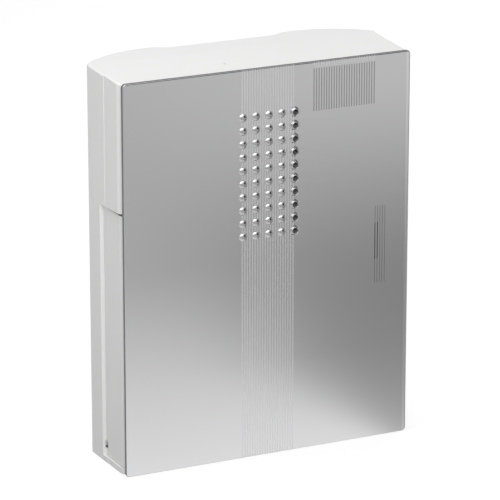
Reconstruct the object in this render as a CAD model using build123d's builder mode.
"""A battery door chime box: a silver front plate with a field of studs and sound collars on a white case.

The case is three mouldings, a front cover, a housing and a rear shell, with a battery cover let into
the left side. X points right, Y points back to the wall and Z points up. The origin lies on the
bottom face, midway between the front plate and the wall. Depths are counted back from the front
plate's face. All sizes are in millimetres.
"""
from build123d import *
import os
from math import asin, atan2, cos, degrees, radians, sin, sqrt

os.makedirs("parts", exist_ok=True)

# Front plate and its field: closed domed studs, and a last column of collars with sound holes
plate_width = 142.0
plate_height = 183.0
plate_thickness = 2.0
plate_corner_radius = 1.4
stud_columns = 4
field_rows = 10
column_spacing = 6.4
row_spacing = 6.15
stud_radius = 1.95
stud_height = 1.1
collar_foot_radius = 2.05
collar_rim_radius = 1.7
collar_hole_radius = 1.3
collar_height = 1.1
collar_field_drop = 49.7

# Layers between the plate and the cover
adhesive_thickness = 0.4
adhesive_band = 9.0
adhesive_inset = 5.0
adhesive_left_inset = 12.0
cloth_thickness = 0.3
window_width = 31.0
window_height = 62.0
window_radius = 3.0
cloth_margin = 1.0

# The case's outline, front to back
hump_height = 17.5
recess_height = 14.1
cover_top_drop = 0.9
cover_top_draft = 0.9
top_step = 0.4
housing_top_draft = 0.8
cover_side_draft = 0.2
side_step = 0.2
housing_side_draft = 0.3
front_corner_radius = 5.0
edge_radius = 0.8
wall = 2.2
deck_thickness = 2.0
lip_thickness = 1.4
lip_height = 2.8
fit_gap = 0.25
overrun = 5.0

# Rear shell's two humps, measured in from each side
hump_land_start = 35.0
hump_land_width = 4.0
recess_start = 45.0
side_land = 2.0
rear_bend_radius = 3.0
recess_bend_radius = 5.0
rear_rib_height = 3.0
rear_rib_thickness = 1.6
rear_rib_levels = 3

# Battery cover in the left side
door_bottom = 3.0
door_top = 122.0
door_inset = 0.8
door_thickness = 1.6
door_rear_depth = 24.0
door_front_gap = 0.3
door_wrap = 7.9
door_gap = 0.3
door_edge_radius = 0.7
door_rib_thickness = 1.2
door_rib_height = 2.0
door_rib_spacing = 32.0
door_rib_count = 3
bevel_size = 1.4
notch_length = 3.0
notch_width = 1.5
notch_height = 8.5
sill_width = 4.6
sill_depth = 6.0

# AA cells, two end to end in each of two columns
cell_radius = 7.1
cell_length = 49.5
cell_cap_radius = 2.75
cell_cap_height = 1.0
cell_gap = 0.8
cell_side_gap = 0.6
cell_edge_radius = 0.7
bay_wall = 1.5
contact_room = 3.5
contact_thickness = 0.4
contact_width = 8.0
leaf_width = 5.0
leaf_span = 9.0

# Loudspeaker
speaker_radius = 28.5
speaker_flange_thickness = 1.0
speaker_opening_radius = 25.6
basket_mouth_radius = 24.6
basket_floor_radius = 15.2
basket_sheet = 0.7
basket_depth = 10.4
basket_window_count = 6
basket_window_width = 6.0
magnet_radius = 16.0
magnet_height = 7.5
pole_radius = 6.0
pole_height = 3.0
coil_gap = 0.5
coil_wall = 0.4
coil_length = 2.6
cone_sheet = 0.4
cone_mouth_radius = 21.4
cone_depth = 6.2
cap_radius = 8.4
cap_rise = 2.4
surround_rise = 1.5
gasket_thickness = 0.8
gasket_width = 2.4

# Screws
speaker_screw_radius = 1.4
speaker_screw_head_radius = 3.1
speaker_screw_head_height = 1.5
speaker_screw_length = 6.5
speaker_screw_grip = 0.4
board_screw_radius = 1.1
board_screw_head_radius = 2.2
board_screw_head_height = 1.5
board_screw_length = 5.5
case_screw_radius = 1.4
case_screw_head_radius = 2.8
case_screw_head_height = 2.2
case_screw_grip = 12.0
pilot_gap = 0.05
clearance_gap = 0.2
drive_slot_width = 0.8
drive_slot_share = 0.45

# Screw bosses
speaker_boss_radius = 3.5
speaker_pad_radius = 2.4
speaker_boss_height = 5.0
board_boss_radius = 3.0
board_standoff = 6.0
board_seam_gap = 6.4
case_boss_radius = 4.0
case_boss_inset = 13.4
case_boss_lower = 14.0
case_boss_drop = 14.8
well_radius = 4.8
well_bore_radius = 3.5
well_floor = 2.4

# Wall fixing and cable inlet
wall_hole_radius = 2.25
wall_hole_spacing = 36.0
wall_hole_height = 14.0
wall_pad_radius = 5.0
driver_hole_radius = 5.0
keyhole_entry_radius = 4.5
keyhole_entry_drop = 21.4
keyhole_rise = 8.0
inlet_width = 12.0
inlet_height = 10.0
inlet_radius = 2.0
inlet_place = 14.0
inlet_drop = 18.0
release_hole_radius = 0.8
release_hole_place = 15.0
release_hole_depth = 14.5

# Circuit board and what it carries
board_thickness = 1.6
board_left = 4.0
board_right_gap = 1.2
board_bottom = 22.0
board_speaker_gap = 6.8
board_hole_inset = 3.4
board_corner_radius = 1.5
block_width = 16.0
block_height = 10.0
block_depth = 10.0
block_place = 10.0
block_drop = 13.0
block_gap = 1.0
terminal_count = 3
terminal_spacing = 5.0
terminal_screw_radius = 1.7
terminal_screw_length = 3.0
terminal_sink = 0.6
wire_hole_radius = 1.2
wire_hole_share = 0.6
chip_length = 10.0
chip_width = 6.0
chip_height = 1.6
chip_place = 26.0
chip_rise = 34.0
lead_count = 8
lead_spacing = 1.27
lead_width = 0.45
lead_reach = 1.2
lead_thickness = 0.3
capacitor_radius = 4.0
capacitor_height = 11.0
capacitor_place = 48.0
capacitor_rise = 38.0
capacitor_spacing = 14.0
capacitor_count = 2
capacitor_groove = 0.35
capacitor_groove_height = 2.2

# Volume wheel and melody button on the right side
wheel_radius = 9.0
wheel_thickness = 2.6
wheel_proud = 1.2
wheel_drop = 18.0
wheel_notch_count = 24
wheel_notch_radius = 0.45
wheel_gap = 0.4
pivot_radius = 1.5
pivot_gap = 0.05
pot_size = 9.0
pot_height = 1.0
button_radius = 2.1
button_drop = 30.0
button_proud = 1.1
button_travel = 0.8
button_gap = 0.12
button_flange_radius = 2.7
button_flange_thickness = 1.2
button_stop_gap = 0.1
button_stem_inner = 1.0
button_edge_radius = 0.5
switch_size = 5.6
switch_depth = 6.0
switch_plunger_radius = 1.4
switch_plunger_length = 0.8
switch_gap = 0.1

# Worked out from the values above
collar_field_centre = plate_height - collar_field_drop
cover_front_top = plate_height - cover_top_drop
cover_rear_top = cover_front_top + cover_top_draft
housing_front_top = cover_rear_top - top_step
housing_rear_top = housing_front_top + housing_top_draft
cover_front_width = plate_width
cover_rear_width = cover_front_width + 2 * cover_side_draft
housing_front_width = cover_rear_width + 2 * side_step
housing_rear_width = housing_front_width + 2 * housing_side_draft
case_boss_upper = housing_rear_top - case_boss_drop
keyhole_entry_height = housing_rear_top - keyhole_entry_drop
board_top = collar_field_centre - speaker_radius - board_speaker_gap
block_level = board_top - block_drop
wheel_level = board_top - wheel_drop
inlet_level = board_top - inlet_drop
button_level = wheel_level - button_drop
chip_level = board_bottom + chip_rise
capacitor_level = board_bottom + capacitor_rise
cover_front = plate_thickness + adhesive_thickness
cover_face_back = cover_front + wall
step_depth = cover_face_back + 2 * (cell_radius + cell_side_gap)
deck_back = step_depth + deck_thickness
board_front = deck_back + board_standoff
board_back = board_front + board_thickness
seam_depth = board_back + board_seam_gap
overall_depth = seam_depth + hump_height
side = plate_width / 2
housing_side = housing_rear_width / 2
cover_inner_side = side - wall
cover_inner_top = cover_front_top - wall
housing_inner_side = housing_front_width / 2 - wall
housing_inner_top = housing_front_top - wall
board_right = housing_inner_side - board_right_gap
speaker_flange_back = step_depth - gasket_thickness
speaker_flange_front = speaker_flange_back - speaker_flange_thickness
speaker_screw_circle = speaker_radius + speaker_screw_head_radius - speaker_screw_grip
door_side = side - door_inset
cell_spacing = 2 * cell_radius + cell_gap
cell_depth = (cover_face_back + step_depth) / 2
rib_reach = door_thickness + door_rib_height - door_side
first_column = rib_reach + fit_gap + cell_radius
second_column = first_column + cell_spacing
bay_right = second_column + cell_radius + fit_gap
stack_length = 2 * (cell_length + cell_cap_height)
bay_bottom = (door_bottom + door_top - stack_length) / 2 - contact_room
bay_top = bay_bottom + stack_length + 2 * contact_room
bay_front = cover_face_back + fit_gap
case_boss_places = [
    (x * (housing_side - case_boss_inset), z) for x in (-1, 1) for z in (case_boss_lower, case_boss_upper)
]
board_boss_places = [
    (x, z)
    for x in (board_hole_inset - board_left, board_right - board_hole_inset)
    for z in (board_bottom + board_hole_inset, board_top - board_hole_inset)
]


def back(depth):
    """The Y of a point that lies this far behind the front plate's face."""
    return depth - overall_depth / 2


def facing(depth):
    """A sketch plane at a depth, with X right and Z up, whose extrusions grow towards the front."""
    return Plane(origin=(0, back(depth), 0), x_dir=(1, 0, 0), z_dir=(0, -1, 0))


def plan(height):
    """A sketch plane at a height, with X right and Y back, whose extrusions grow upwards."""
    return Plane.XY.offset(height)


def finish(builder, label):
    """Names a finished piece and writes it."""
    builder.part.label = label
    export_step(builder.part, "parts/" + label + ".step")


def domed_stud():
    """A shallow dome whose foot runs down into the plate, with the plate's front face at Y = 0."""
    bend = (stud_radius**2 + stud_height**2) / (2 * stud_height)
    stud_root = plate_thickness / 2
    with BuildPart() as stud:
        with BuildSketch(Plane.XY):
            with BuildLine():
                Polyline((0, -stud_height), (0, stud_root), (stud_radius, stud_root), (stud_radius, 0))
                RadiusArc((stud_radius, 0), (0, -stud_height), bend)
            make_face()
        revolve(axis=Axis.Y)
    return stud.part


# Front plate: a glossy sheet with a field of domed studs and a last column of open collars
collar_taper = degrees(atan2(collar_foot_radius - collar_rim_radius, collar_height))
collar_column = column_spacing * stud_columns / 2
lowest_row = collar_field_centre - row_spacing * (field_rows - 1) / 2
stud_places = [
    (column * column_spacing - collar_column, back(0), lowest_row + row * row_spacing)
    for column in range(stud_columns)
    for row in range(field_rows)
]
with BuildPart() as front_plate:
    with BuildSketch(facing(plate_thickness)):
        with Locations((0, plate_height / 2)):
            RectangleRounded(plate_width, plate_height, plate_corner_radius)
    extrude(amount=plate_thickness)
    with Locations(stud_places):
        add(domed_stud())
    with BuildSketch(facing(0)):
        with Locations((collar_column, collar_field_centre)):
            with GridLocations(0, row_spacing, 1, field_rows):
                Circle(collar_foot_radius)
    extrude(amount=collar_height, taper=collar_taper)
    with BuildSketch(facing(plate_thickness)):
        with Locations((collar_column, collar_field_centre)):
            with GridLocations(0, row_spacing, 1, field_rows):
                Circle(collar_hole_radius)
    extrude(amount=plate_thickness + collar_height + overrun, mode=Mode.SUBTRACT)
finish(front_plate, "front_plate")

# Adhesive frame that bonds the plate to the cover
adhesive_left = adhesive_left_inset - side
adhesive_right = side - adhesive_inset
adhesive_width = adhesive_right - adhesive_left
adhesive_height = cover_front_top - 2 * adhesive_inset
with BuildPart() as plate_adhesive:
    with BuildSketch(facing(cover_front)):
        with Locations(((adhesive_left + adhesive_right) / 2, cover_front_top / 2)):
            Rectangle(adhesive_width, adhesive_height)
            Rectangle(
                adhesive_width - 2 * adhesive_band, adhesive_height - 2 * adhesive_band, mode=Mode.SUBTRACT
            )
    extrude(amount=adhesive_thickness)
finish(plate_adhesive, "plate_adhesive")

# Dust cloth behind the sound holes
with BuildPart() as dust_cloth:
    with BuildSketch(facing(plate_thickness + cloth_thickness)):
        with Locations((0, collar_field_centre)):
            RectangleRounded(
                window_width - 2 * cloth_margin,
                window_height - 2 * cloth_margin,
                window_radius - cloth_margin,
            )
    extrude(amount=cloth_thickness)
finish(dust_cloth, "dust_cloth")

# Front cover: the drafted moulding that the plate sits on
door_slot_right = door_wrap - side + door_gap
with BuildPart() as front_cover:
    with BuildSketch(facing(step_depth)):
        with Locations((0, cover_rear_top)):
            Rectangle(cover_rear_width, cover_rear_top + overrun, align=(Align.CENTER, Align.MAX))
    with BuildSketch(facing(cover_front)):
        with Locations((0, cover_front_top)):
            Rectangle(cover_front_width, cover_front_top + overrun, align=(Align.CENTER, Align.MAX))
    loft()
    split(bisect_by=Plane.XY, keep=Keep.TOP)
    front_edges = front_cover.faces().sort_by(Axis.Y)[0].edges()
    fillet(front_edges.filter_by(Axis.Z), radius=front_corner_radius)
    fillet(front_cover.faces().sort_by(Axis.Z)[-1].edges().sort_by(Axis.Y)[:-1], radius=edge_radius)
    with BuildSketch(plan(wall)):
        with BuildLine():
            Polyline(
                (-cover_inner_side, back(step_depth) + overrun),
                (-cover_inner_side, back(cover_face_back)),
                (cover_inner_side, back(cover_face_back)),
                (cover_inner_side, back(step_depth) + overrun),
                close=True,
            )
        make_face()
        fillet(vertices().group_by(Axis.Y)[0], radius=front_corner_radius - wall)
    extrude(amount=cover_inner_top - wall, mode=Mode.SUBTRACT)
    with BuildSketch(facing(cover_face_back)):
        with Locations((0, collar_field_centre)):
            RectangleRounded(window_width, window_height, window_radius)
    extrude(amount=wall + overrun, mode=Mode.SUBTRACT)
    with BuildSketch(plan(door_bottom - door_gap)):
        with Locations((door_slot_right, back(cover_front) - overrun)):
            Rectangle(door_wrap + overrun, step_depth + 2 * overrun, align=(Align.MAX, Align.MIN))
    extrude(amount=door_top - door_bottom + 2 * door_gap, mode=Mode.SUBTRACT)
    with BuildSketch(plan(cover_inner_top - overrun)):
        with Locations((-release_hole_place, back(release_hole_depth))):
            Circle(release_hole_radius)
    extrude(amount=wall + 2 * overrun, mode=Mode.SUBTRACT)
finish(front_cover, "front_cover")


def door_profile(inset):
    """The battery cover's outline in plan, moved in from its outer face, as a line to be closed."""
    face = back(cover_front + door_front_gap + inset)
    flank = inset - door_side
    bend = front_corner_radius - inset
    Line((door_wrap - side, face), (flank + bend, face))
    RadiusArc((flank + bend, face), (flank, face + bend), bend)
    Line((flank, face + bend), (flank, back(door_rear_depth)))


# Battery cover: wraps the front corner and runs back into the housing's bevelled recess
with BuildPart() as battery_cover:
    with BuildSketch(plan(door_bottom)):
        with BuildLine():
            door_profile(0)
            door_profile(door_thickness)
            Line(
                (door_wrap - side, back(cover_front + door_front_gap)),
                (door_wrap - side, back(cover_front + door_front_gap + door_thickness)),
            )
            Line((-door_side, back(door_rear_depth)), (door_thickness - door_side, back(door_rear_depth)))
        make_face()
    extrude(amount=door_top - door_bottom)
    top_edges = battery_cover.faces().sort_by(Axis.Z)[-1].edges()
    fillet(top_edges.sort_by(Axis.X)[0], radius=door_edge_radius)
    for number in range(door_rib_count):
        rib_level = (door_bottom + door_top) / 2 + (number - (door_rib_count - 1) / 2) * door_rib_spacing
        with BuildSketch(plan(rib_level - door_rib_thickness / 2)):
            with BuildLine():
                Polyline(
                    (-door_side + door_thickness / 2, back(cover_front + front_corner_radius)),
                    (rib_reach, back(cover_front + front_corner_radius)),
                    (rib_reach, back(step_depth - lip_height)),
                    (-door_side + door_thickness / 2, back(step_depth)),
                    close=True,
                )
            make_face()
        extrude(amount=door_rib_thickness)
    with BuildSketch(Plane.YZ.offset(-door_side - overrun)):
        with Locations((back(door_rear_depth), notch_height)):
            SlotOverall(notch_length, notch_width, rotation=90)
    extrude(amount=overrun + 2 * door_thickness, mode=Mode.SUBTRACT)
finish(battery_cover, "battery_cover")

# Housing: a drafted frame whose deck carries the loudspeaker, the board and the cells
lip_outer_side = cover_inner_side - fit_gap
lip_outer_bottom = wall + fit_gap
lip_outer_top = cover_inner_top - fit_gap
recess_floor = door_thickness + door_gap - door_side
speaker_screw_reach = speaker_screw_circle * sqrt(1 / 2)
speaker_screw_places = [
    (x * speaker_screw_reach, z * speaker_screw_reach) for x in (-1, 1) for z in (-1, 1)
]
wheel_place = housing_side + wheel_proud - wheel_radius
wheel_depth = board_front - pot_height - wheel_gap - wheel_thickness / 2
button_depth = (deck_back + board_front) / 2
with BuildPart() as housing:
    with BuildSketch(facing(seam_depth)):
        with Locations((0, housing_rear_top)):
            Rectangle(housing_rear_width, housing_rear_top + overrun, align=(Align.CENTER, Align.MAX))
    with BuildSketch(facing(step_depth)):
        with Locations((0, housing_front_top)):
            Rectangle(housing_front_width, housing_front_top + overrun, align=(Align.CENTER, Align.MAX))
    loft()
    split(bisect_by=Plane.XY, keep=Keep.TOP)
    fillet(housing.faces().sort_by(Axis.Z)[-1].edges().sort_by(Axis.X)[0:1], radius=edge_radius)
    fillet(housing.faces().sort_by(Axis.Z)[-1].edges().sort_by(Axis.X)[-1:], radius=edge_radius)
    with BuildSketch(facing(seam_depth)):
        with Locations((0, (wall + housing_inner_top) / 2)):
            Rectangle(2 * housing_inner_side, housing_inner_top - wall)
    extrude(amount=seam_depth - deck_back, mode=Mode.SUBTRACT)

    # Register lip that locates the cover
    with BuildSketch(facing(step_depth)):
        with Locations((0, (lip_outer_bottom + lip_outer_top) / 2)):
            Rectangle(2 * lip_outer_side, lip_outer_top - lip_outer_bottom)
            Rectangle(
                2 * (lip_outer_side - lip_thickness),
                lip_outer_top - lip_outer_bottom - 2 * lip_thickness,
                mode=Mode.SUBTRACT,
            )
    extrude(amount=lip_height)
    with BuildSketch(facing(step_depth)):
        with Locations((-side, (door_bottom + door_top) / 2)):
            Rectangle(side, door_top - door_bottom + 2 * door_gap)
    extrude(amount=lip_height + overrun, mode=Mode.SUBTRACT)

    # Sill behind the battery cover, with the bevelled recess for its rear edge
    with BuildSketch(plan(wall / 2)):
        with Locations((-housing_inner_side - wall / 2, back(deck_back))):
            Rectangle(wall / 2 + sill_width, sill_depth, align=(Align.MIN, Align.MIN))
    extrude(amount=door_top + wall)
    with BuildSketch(plan(door_bottom - door_gap)):
        with BuildLine():
            Polyline(
                (-housing_side - overrun, back(step_depth) - overrun),
                (recess_floor, back(step_depth) - overrun),
                (recess_floor, back(door_rear_depth + door_gap)),
                (-door_side, back(door_rear_depth + door_gap)),
                (-door_side - bevel_size, back(door_rear_depth + door_gap + bevel_size)),
                (-housing_side - overrun, back(door_rear_depth + door_gap + bevel_size)),
                close=True,
            )
        make_face()
    extrude(amount=door_top - door_bottom + 2 * door_gap, mode=Mode.SUBTRACT)
    with BuildSketch(Plane.YZ.offset(-housing_side - overrun)):
        with Locations((back(door_rear_depth), notch_height)):
            SlotOverall(notch_length, notch_width, rotation=90)
    extrude(amount=overrun + housing_side - door_side + door_thickness, mode=Mode.SUBTRACT)

    # Walls of the cell bay
    with BuildSketch(facing(step_depth)):
        with Locations((rib_reach, (bay_bottom + bay_top) / 2)):
            Rectangle(
                bay_right + bay_wall - rib_reach,
                bay_top - bay_bottom + 2 * bay_wall,
                align=(Align.MIN, Align.CENTER),
            )
            Rectangle(
                bay_right - rib_reach,
                bay_top - bay_bottom,
                align=(Align.MIN, Align.CENTER),
                mode=Mode.SUBTRACT,
            )
    extrude(amount=step_depth - bay_front)

    # Bosses in front of and behind the deck
    with BuildSketch(facing(step_depth)):
        with Locations((0, collar_field_centre)):
            with Locations(speaker_screw_places):
                Circle(speaker_pad_radius)
    extrude(amount=step_depth - speaker_flange_front)
    with BuildSketch(facing(deck_back + speaker_boss_height)):
        with Locations((0, collar_field_centre)):
            with Locations(speaker_screw_places):
                Circle(speaker_boss_radius)
    extrude(amount=speaker_boss_height)
    with BuildSketch(facing(board_front)):
        with Locations(board_boss_places):
            Circle(board_boss_radius)
    extrude(amount=board_standoff)
    with BuildSketch(facing(seam_depth)):
        with Locations(case_boss_places):
            Circle(case_boss_radius)
    extrude(amount=seam_depth - deck_back)

    # Holes in the deck and its bosses
    with BuildSketch(facing(deck_back)):
        with Locations((0, collar_field_centre)):
            Circle(speaker_opening_radius)
        with Locations((block_place, block_level)):
            Rectangle(block_width + 2 * block_gap, block_height + 2 * block_gap)
        with Locations((-inlet_place, inlet_level)):
            RectangleRounded(inlet_width, inlet_height, inlet_radius)
        with Locations((0, wall_hole_height)):
            with GridLocations(wall_hole_spacing, 0, 2, 1):
                Circle(driver_hole_radius)
    extrude(amount=deck_thickness + overrun, mode=Mode.SUBTRACT)
    with BuildSketch(facing(speaker_flange_front + speaker_screw_length + pilot_gap)):
        with Locations((0, collar_field_centre)):
            with Locations(speaker_screw_places):
                Circle(speaker_screw_radius + pilot_gap)
    extrude(amount=speaker_screw_length + overrun, mode=Mode.SUBTRACT)
    with BuildSketch(facing(board_front)):
        with Locations(board_boss_places):
            Circle(board_screw_radius + pilot_gap)
    extrude(amount=board_screw_length - board_thickness + pilot_gap, mode=Mode.SUBTRACT)
    with BuildSketch(facing(seam_depth)):
        with Locations(case_boss_places):
            Circle(case_screw_radius + pilot_gap)
    extrude(amount=case_screw_grip + pilot_gap, mode=Mode.SUBTRACT)

    # Wheel slot and button hole in the right wall
    with BuildSketch(Plane.YZ.offset(housing_inner_side - overrun)):
        with Locations((back(wheel_depth), wheel_level)):
            Rectangle(wheel_thickness + 2 * wheel_gap, 2 * wheel_radius)
        with Locations((back(button_depth), button_level)):
            Circle(button_radius + button_gap)
    extrude(amount=wall + 2 * overrun, mode=Mode.SUBTRACT)
finish(housing, "housing")


def rear_outline(reach):
    """The rear shell's outline in plan: two humps beside a flat recess, open by a reach past the seam."""
    crest = back(overall_depth)
    valley = back(seam_depth + recess_height)
    bend = back(seam_depth + side_land)
    front = back(seam_depth) - reach
    land_out = housing_side - hump_land_start
    land_in = land_out - hump_land_width
    recess_side = housing_side - recess_start
    rise = crest - bend
    hump_radius = (hump_land_start**2 + rise**2) / (2 * rise)
    with BuildSketch() as outline:
        with BuildLine():
            Polyline(
                (-housing_side, bend),
                (-housing_side, front),
                (housing_side, front),
                (housing_side, bend),
            )
            RadiusArc((housing_side, bend), (land_out, crest), -hump_radius)
            Polyline(
                (land_out, crest),
                (land_in, crest),
                (recess_side, valley),
                (-recess_side, valley),
                (-land_in, crest),
                (-land_out, crest),
            )
            RadiusArc((-land_out, crest), (-housing_side, bend), -hump_radius)
        make_face()
        behind = [v for v in vertices() if v.Y > bend]
        fillet([v for v in behind if abs(v.X) < land_out - hump_land_width / 2], radius=recess_bend_radius)
        fillet([v for v in vertices() if abs(v.Y - bend) < fit_gap], radius=rear_bend_radius)
    return outline.sketch


# Rear shell: two rounded humps beside a recess, with screw wells, ribs and the wall fixings
rib_spacing = (housing_rear_top - 2 * wall) / (rear_rib_levels + 1)
seam_lip_side = housing_inner_side - fit_gap
seam_lip_top = housing_inner_top - fit_gap
with BuildPart() as rear_shell:
    with BuildSketch(plan(0)):
        add(rear_outline(0))
    extrude(amount=housing_rear_top)
    with BuildSketch(plan(wall)):
        add(rear_outline(2 * overrun))
        offset(amount=-wall - rear_rib_height, mode=Mode.REPLACE)
    extrude(amount=housing_rear_top - 2 * wall, mode=Mode.SUBTRACT)
    for number in range(rear_rib_levels + 1):
        bay_floor = wall + number * rib_spacing
        bay_roof = bay_floor + rib_spacing
        if number > 0:
            bay_floor += rear_rib_thickness / 2
        if number < rear_rib_levels:
            bay_roof -= rear_rib_thickness / 2
        with BuildSketch(plan(bay_floor)):
            add(rear_outline(2 * overrun))
            offset(amount=-wall, mode=Mode.REPLACE)
        extrude(amount=bay_roof - bay_floor, mode=Mode.SUBTRACT)

    # Screw wells, trimmed to the outline
    with BuildSketch(facing(overall_depth)):
        with Locations(case_boss_places):
            Circle(well_radius)
    extrude(amount=overall_depth - seam_depth)
    with BuildSketch(plan(0)):
        add(rear_outline(0))
    extrude(amount=housing_rear_top, mode=Mode.INTERSECT)
    with BuildSketch(facing(overall_depth)):
        with Locations(case_boss_places):
            Circle(well_bore_radius)
    extrude(amount=overall_depth - seam_depth - well_floor, mode=Mode.SUBTRACT)
    with BuildSketch(facing(overall_depth)):
        with Locations(case_boss_places):
            Circle(case_screw_radius + clearance_gap)
    extrude(amount=overall_depth - seam_depth + overrun, mode=Mode.SUBTRACT)

    # Lip that registers in the housing
    with BuildSketch(facing(seam_depth)):
        with Locations((0, (wall + fit_gap + seam_lip_top) / 2)):
            Rectangle(2 * seam_lip_side, seam_lip_top - wall - fit_gap)
            Rectangle(
                2 * (seam_lip_side - lip_thickness),
                seam_lip_top - wall - fit_gap - 2 * lip_thickness,
                mode=Mode.SUBTRACT,
            )
    extrude(amount=lip_height)
    with BuildSketch(facing(seam_depth + wall)):
        with Locations((0, (wall + fit_gap + seam_lip_top) / 2)):
            Rectangle(2 * housing_side - 2 * wall, seam_lip_top - wall - fit_gap)
            Rectangle(
                2 * (seam_lip_side - lip_thickness),
                seam_lip_top - wall - fit_gap - 2 * lip_thickness,
                mode=Mode.SUBTRACT,
            )
    extrude(amount=wall)

    # Pads that stand the recess off the wall at the two lower screws
    with BuildSketch(facing(overall_depth)):
        with Locations((0, wall_hole_height)):
            with GridLocations(wall_hole_spacing, 0, 2, 1):
                Circle(wall_pad_radius)
    extrude(amount=hump_height - recess_height + wall)
    with BuildSketch(facing(overall_depth + overrun)):
        with Locations((0, wall_hole_height)):
            with GridLocations(wall_hole_spacing, 0, 2, 1):
                Circle(wall_hole_radius)
        with Locations((0, keyhole_entry_height)):
            Circle(keyhole_entry_radius)
        with Locations((0, keyhole_entry_height + keyhole_rise / 2)):
            Rectangle(2 * wall_hole_radius, keyhole_rise)
        with Locations((0, keyhole_entry_height + keyhole_rise)):
            Circle(wall_hole_radius)
        with Locations((-inlet_place, inlet_level)):
            RectangleRounded(inlet_width, inlet_height, inlet_radius)
    extrude(amount=hump_height + overrun, mode=Mode.SUBTRACT)
finish(rear_shell, "rear_shell")


def slotted_screws(places, seat, head_radius, head_height, shank_radius, shank_length, towards_front):
    """Screws with slotted pan heads at (X, Z) places, whose heads bear on a seat at a depth."""
    way = 1 if towards_front else -1
    with BuildPart() as screws:
        with BuildSketch(facing(seat)):
            with Locations(places):
                Circle(head_radius)
        extrude(amount=way * head_height)
        with BuildSketch(facing(seat)):
            with Locations(places):
                Circle(shank_radius)
        extrude(amount=-way * shank_length)
        with BuildSketch(facing(seat - way * head_height)):
            with Locations(places):
                Rectangle(2 * head_radius, drive_slot_width)
        extrude(amount=-way * drive_slot_share * head_height, mode=Mode.SUBTRACT)
    return screws.part


# Case screws, up from the wells into the housing's bosses
with BuildPart() as case_screws:
    add(
        slotted_screws(
            case_boss_places,
            seam_depth + well_floor,
            case_screw_head_radius,
            case_screw_head_height,
            case_screw_radius,
            case_screw_grip + well_floor,
            False,
        )
    )
finish(case_screws, "case_screws")


def around_speaker():
    """A sketch plane through the loudspeaker's axis, with the radius along X and the depth along Y."""
    return Plane.XY.offset(collar_field_centre)


speaker_axis = Axis((0, 0, collar_field_centre), (0, 1, 0))


def turned(points):
    """Turns a closed outline of (radius, depth) points round the loudspeaker's axis."""
    with BuildPart() as solid:
        with BuildSketch(around_speaker()):
            with BuildLine():
                Polyline([(radius, back(depth)) for radius, depth in points], close=True)
            make_face()
        revolve(axis=speaker_axis)
    return solid.part


# Loudspeaker basket: a pressed steel frame with windows in its cone
basket_floor = speaker_flange_back + basket_depth
with BuildPart() as speaker_basket:
    basket_profile = [
        (speaker_radius, speaker_flange_front),
        (speaker_radius, speaker_flange_back),
        (basket_mouth_radius + basket_sheet, speaker_flange_back),
        (basket_floor_radius + basket_sheet, basket_floor),
        (pole_radius + 2 * coil_gap + coil_wall, basket_floor),
        (pole_radius + 2 * coil_gap + coil_wall, basket_floor - basket_sheet),
        (basket_floor_radius, basket_floor - basket_sheet),
        (basket_mouth_radius, speaker_flange_front),
    ]
    add(turned(basket_profile))
    window_start = speaker_flange_back + 2 * basket_sheet
    with BuildSketch(facing(basket_floor - 2 * basket_sheet)):
        with Locations((0, collar_field_centre)):
            with PolarLocations(0, basket_window_count):
                Rectangle(speaker_radius, basket_window_width, align=(Align.MIN, Align.CENTER))
    extrude(amount=basket_floor - 2 * basket_sheet - window_start, mode=Mode.SUBTRACT)
finish(speaker_basket, "speaker_basket")

# Loudspeaker magnet with its pole piece
with BuildPart() as speaker_magnet:
    magnet_profile = [
        (0, basket_floor - pole_height),
        (pole_radius, basket_floor - pole_height),
        (pole_radius, basket_floor),
        (magnet_radius, basket_floor),
        (magnet_radius, basket_floor + magnet_height),
        (0, basket_floor + magnet_height),
    ]
    add(turned(magnet_profile))
finish(speaker_magnet, "speaker_magnet")

# Loudspeaker cone with its rolled surround and coil former
cone_top = speaker_flange_front + cone_sheet
coil_inner = pole_radius + coil_gap
coil_outer = coil_inner + coil_wall
cone_floor = cone_top + cone_depth
with BuildPart() as speaker_cone:
    with BuildSketch(around_speaker()):
        with BuildLine():
            Polyline(
                (basket_mouth_radius, back(speaker_flange_front)),
                (speaker_radius - cone_sheet, back(speaker_flange_front)),
                (speaker_radius - cone_sheet, back(speaker_flange_front - cone_sheet)),
                (basket_mouth_radius, back(speaker_flange_front - cone_sheet)),
            )
            ThreePointArc(
                (basket_mouth_radius, back(speaker_flange_front - cone_sheet)),
                ((basket_mouth_radius + cone_mouth_radius) / 2, back(speaker_flange_front - surround_rise)),
                (cone_mouth_radius, back(speaker_flange_front - cone_sheet)),
            )
            Polyline(
                (cone_mouth_radius, back(speaker_flange_front - cone_sheet)),
                (coil_inner, back(cone_floor - cone_sheet)),
                (coil_inner, back(cone_floor + coil_length)),
                (coil_outer, back(cone_floor + coil_length)),
                (coil_outer, back(cone_floor)),
                (cone_mouth_radius, back(speaker_flange_front)),
            )
            ThreePointArc(
                (cone_mouth_radius, back(speaker_flange_front)),
                (
                    (basket_mouth_radius + cone_mouth_radius) / 2,
                    back(speaker_flange_front - surround_rise + cone_sheet),
                ),
                (basket_mouth_radius, back(speaker_flange_front)),
            )
        make_face()
    revolve(axis=speaker_axis)
finish(speaker_cone, "speaker_cone")

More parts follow.
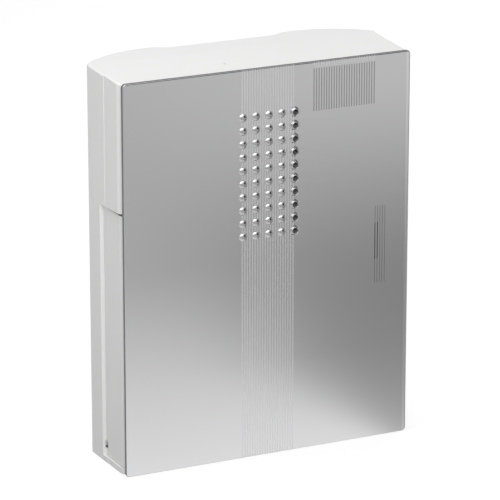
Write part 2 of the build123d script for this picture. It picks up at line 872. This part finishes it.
# Dust cap over the coil, resting on the cone
cap_share = (cap_radius - coil_inner) / (cone_mouth_radius - coil_inner)
cap_seat = cone_floor - 2 * cone_sheet - cap_share * (cone_floor - speaker_flange_front)
cap_bend = (cap_radius**2 + cap_rise**2) / (2 * cap_rise)
inner_bend = cap_bend - cone_sheet
cap_sweep = degrees(asin(cap_radius / cap_bend))
cap_rim = back(cap_seat - cap_rise + cap_bend) - cap_bend * cos(radians(cap_sweep))
inner_rim = back(cap_seat - cap_rise + cap_bend) - inner_bend * cos(radians(cap_sweep))
with BuildPart() as speaker_cap:
    with BuildSketch(around_speaker()):
        with BuildLine():
            CenterArc((0, back(cap_seat - cap_rise + cap_bend)), cap_bend, 270, cap_sweep)
            Line((cap_radius, cap_rim), (inner_bend * sin(radians(cap_sweep)), inner_rim))
            CenterArc((0, back(cap_seat - cap_rise + cap_bend)), inner_bend, 270 + cap_sweep, -cap_sweep)
            Line((0, back(cap_seat - cap_rise + cone_sheet)), (0, back(cap_seat - cap_rise)))
        make_face()
    revolve(axis=speaker_axis)
finish(speaker_cap, "speaker_cap")

# Foam ring between the basket and the deck
with BuildPart() as speaker_gasket:
    with BuildSketch(facing(step_depth)):
        with Locations((0, collar_field_centre)):
            Circle(speaker_radius)
            Circle(speaker_radius - gasket_width, mode=Mode.SUBTRACT)
    extrude(amount=gasket_thickness)
finish(speaker_gasket, "speaker_gasket")

# Screws that clamp the basket's rim
with BuildPart() as speaker_screws:
    add(
        slotted_screws(
            [(x, z + collar_field_centre) for x, z in speaker_screw_places],
            speaker_flange_front,
            speaker_screw_head_radius,
            speaker_screw_head_height,
            speaker_screw_radius,
            speaker_screw_length,
            True,
        )
    )
finish(speaker_screws, "speaker_screws")

# Circuit board behind the deck
with BuildPart() as circuit_board:
    with BuildSketch(facing(board_back)):
        with Locations(((board_right - board_left) / 2, (board_bottom + board_top) / 2)):
            RectangleRounded(board_right + board_left, board_top - board_bottom, board_corner_radius)
        with Locations(board_boss_places):
            Circle(board_screw_radius + clearance_gap, mode=Mode.SUBTRACT)
    extrude(amount=board_thickness)
finish(circuit_board, "circuit_board")

# Board screws, from behind
with BuildPart() as board_screws:
    add(
        slotted_screws(
            board_boss_places,
            board_back,
            board_screw_head_radius,
            board_screw_head_height,
            board_screw_radius,
            board_screw_length,
            False,
        )
    )
finish(board_screws, "board_screws")

# Terminal block, which stands through the deck's window so that the bell wires can be fixed
terminal_places = [
    (block_place + (number - (terminal_count - 1) / 2) * terminal_spacing, block_level)
    for number in range(terminal_count)
]
block_face = board_front - block_depth
with BuildPart() as terminal_block:
    with BuildSketch(facing(board_front)):
        with Locations((block_place, block_level)):
            Rectangle(block_width, block_height)
    extrude(amount=block_depth)
    with BuildSketch(facing(block_face + terminal_sink + terminal_screw_length + pilot_gap)):
        with Locations(terminal_places):
            Circle(terminal_screw_radius + pilot_gap)
    extrude(amount=terminal_screw_length + overrun, mode=Mode.SUBTRACT)
    with BuildSketch(plan(block_level - block_height / 2 - overrun)):
        with Locations([(x, back(block_face + block_depth * wire_hole_share)) for x, z in terminal_places]):
            Circle(wire_hole_radius)
    extrude(amount=overrun + block_height * wire_hole_share, mode=Mode.SUBTRACT)
finish(terminal_block, "terminal_block")

# Terminal screws
with BuildPart() as terminal_screws:
    with BuildSketch(facing(block_face + terminal_sink + terminal_screw_length)):
        with Locations(terminal_places):
            Circle(terminal_screw_radius)
    extrude(amount=terminal_screw_length)
    with BuildSketch(facing(block_face + terminal_sink)):
        with Locations(terminal_places):
            Rectangle(2 * terminal_screw_radius, drive_slot_width)
    extrude(amount=-drive_slot_width, mode=Mode.SUBTRACT)
finish(terminal_screws, "terminal_screws")

# Melody chip on the board's rear face, with its two rows of leads
with BuildPart() as melody_chip:
    with BuildSketch(facing(board_back + chip_height)):
        with Locations((chip_place, chip_level)):
            Rectangle(chip_length, chip_width)
    extrude(amount=chip_height)
    with BuildSketch(facing(board_back + chip_height / 2)):
        with Locations((chip_place, chip_level)):
            with GridLocations(lead_spacing, 0, lead_count, 1):
                Rectangle(lead_width, chip_width + 2 * lead_reach)
    extrude(amount=lead_thickness)
    with BuildSketch(facing(board_back + chip_height / 2)):
        with Locations((chip_place, chip_level)):
            with GridLocations(lead_spacing, chip_width + 2 * lead_reach - lead_thickness, lead_count, 2):
                Rectangle(lead_width, lead_thickness)
    extrude(amount=chip_height / 2)
finish(melody_chip, "melody_chip")

# Electrolytic capacitors, standing on the board's rear face
with BuildPart() as capacitors:
    with BuildSketch(facing(board_back + capacitor_height)):
        with Locations((capacitor_place, capacitor_level)):
            with GridLocations(0, capacitor_spacing, 1, capacitor_count):
                Circle(capacitor_radius)
    extrude(amount=capacitor_height)
    with BuildSketch(facing(board_back + capacitor_groove_height + capacitor_groove)):
        with Locations((capacitor_place, capacitor_level)):
            with GridLocations(0, capacitor_spacing, 1, capacitor_count):
                Circle(capacitor_radius + capacitor_groove)
                Circle(capacitor_radius - capacitor_groove, mode=Mode.SUBTRACT)
    extrude(amount=capacitor_groove, mode=Mode.SUBTRACT)
finish(capacitors, "capacitors")

# Volume control's body and pivot, and the wheel that turns on it
with BuildPart() as volume_control:
    with BuildSketch(facing(board_front)):
        with Locations((wheel_place, wheel_level)):
            Rectangle(pot_size, pot_size)
    extrude(amount=pot_height)
    with BuildSketch(facing(board_front)):
        with Locations((wheel_place, wheel_level)):
            Circle(pivot_radius)
    extrude(amount=pot_height + wheel_gap + wheel_thickness)
finish(volume_control, "volume_control")

with BuildPart() as volume_wheel:
    with BuildSketch(facing(wheel_depth + wheel_thickness / 2)):
        with Locations((wheel_place, wheel_level)):
            Circle(wheel_radius)
            with PolarLocations(wheel_radius, wheel_notch_count):
                Circle(wheel_notch_radius, mode=Mode.SUBTRACT)
            Circle(pivot_radius + pivot_gap, mode=Mode.SUBTRACT)
    extrude(amount=wheel_thickness)
finish(volume_wheel, "volume_wheel")

# Melody button in the right wall, and the switch that it presses
button_stop = housing_inner_side - button_stop_gap
button_end = button_stop - button_flange_thickness - button_stem_inner
with BuildPart() as melody_button:
    with BuildSketch(Plane.YZ.offset(button_end)):
        with Locations((back(button_depth), button_level)):
            Circle(button_radius)
    extrude(amount=housing_side + button_proud - button_end)
    with BuildSketch(Plane.YZ.offset(button_stop - button_flange_thickness)):
        with Locations((back(button_depth), button_level)):
            Circle(button_flange_radius)
    extrude(amount=button_flange_thickness)
    cap_edge = melody_button.faces().sort_by(Axis.X)[-1].edges()
    fillet(cap_edge, radius=button_edge_radius)
finish(melody_button, "melody_button")

plunger_end = button_end - button_travel - switch_gap
with BuildPart() as melody_switch:
    with BuildSketch(Plane.YZ.offset(plunger_end - switch_plunger_length)):
        with Locations((back(board_front - switch_size / 2), button_level)):
            Rectangle(switch_size, switch_size)
    extrude(amount=-switch_depth)
    with BuildSketch(Plane.YZ.offset(plunger_end - switch_plunger_length)):
        with Locations((back(button_depth), button_level)):
            Circle(switch_plunger_radius)
    extrude(amount=switch_plunger_length)
finish(melody_switch, "melody_switch")

# AA cells: two columns of two, each column end to end and the columns opposite ways round
stack_start = bay_bottom + contact_room
cell_places = {
    "cell_outer_lower": (first_column, 0, False),
    "cell_outer_upper": (first_column, 1, False),
    "cell_inner_lower": (second_column, 0, True),
    "cell_inner_upper": (second_column, 1, True),
}
for cell_name, (column, row, cap_down) in cell_places.items():
    can_floor = stack_start + row * (cell_length + cell_cap_height) + (cell_cap_height if cap_down else 0)
    cap_floor = can_floor - cell_cap_height if cap_down else can_floor + cell_length
    with BuildPart() as cell:
        with BuildSketch(plan(can_floor)):
            with Locations((column, back(cell_depth))):
                Circle(cell_radius)
        extrude(amount=cell_length)
        fillet(cell.edges().filter_by(GeomType.CIRCLE), radius=cell_edge_radius)
        with BuildSketch(plan(cap_floor)):
            with Locations((column, back(cell_depth))):
                Circle(cell_cap_radius)
        extrude(amount=cell_cap_height)
    finish(cell, cell_name)


def contact(column, wall_face, way):
    """A plate against the bay's end wall, with a bowed leaf that reaches the cell's end."""
    plate_end = wall_face + way * contact_thickness
    leaf_peak = wall_face + way * (contact_room - contact_thickness / 2)
    foot = leaf_span / 2
    inner_foot = foot - contact_thickness
    with BuildPart() as spring_contact:
        with BuildSketch(plan(min(wall_face, plate_end))):
            with Locations((column, back(cell_depth))):
                Rectangle(2 * cell_radius - contact_thickness, contact_width)
        extrude(amount=contact_thickness)
        with BuildSketch(facing(cell_depth + leaf_width / 2)):
            with BuildLine():
                ThreePointArc((column - foot, plate_end), (column, leaf_peak), (column + foot, plate_end))
                Line((column + foot, plate_end), (column + inner_foot, plate_end))
                ThreePointArc(
                    (column + inner_foot, plate_end),
                    (column, leaf_peak - way * contact_thickness),
                    (column - inner_foot, plate_end),
                )
                Line((column - inner_foot, plate_end), (column - foot, plate_end))
            make_face()
        extrude(amount=leaf_width)
    return spring_contact.part


# End contacts at the foot of the bay, and the bridge that joins the two columns at its head
with BuildPart() as end_contacts:
    add(contact(first_column, bay_bottom, 1))
    add(contact(second_column, bay_bottom, 1))
finish(end_contacts, "end_contacts")

with BuildPart() as bridge_contact:
    add(contact(first_column, bay_top, -1))
    add(contact(second_column, bay_top, -1))
    with BuildSketch(plan(bay_top - contact_thickness)):
        with Locations(((first_column + second_column) / 2, back(cell_depth))):
            Rectangle(cell_spacing, contact_width)
    extrude(amount=contact_thickness)
finish(bridge_contact, "bridge_contact")
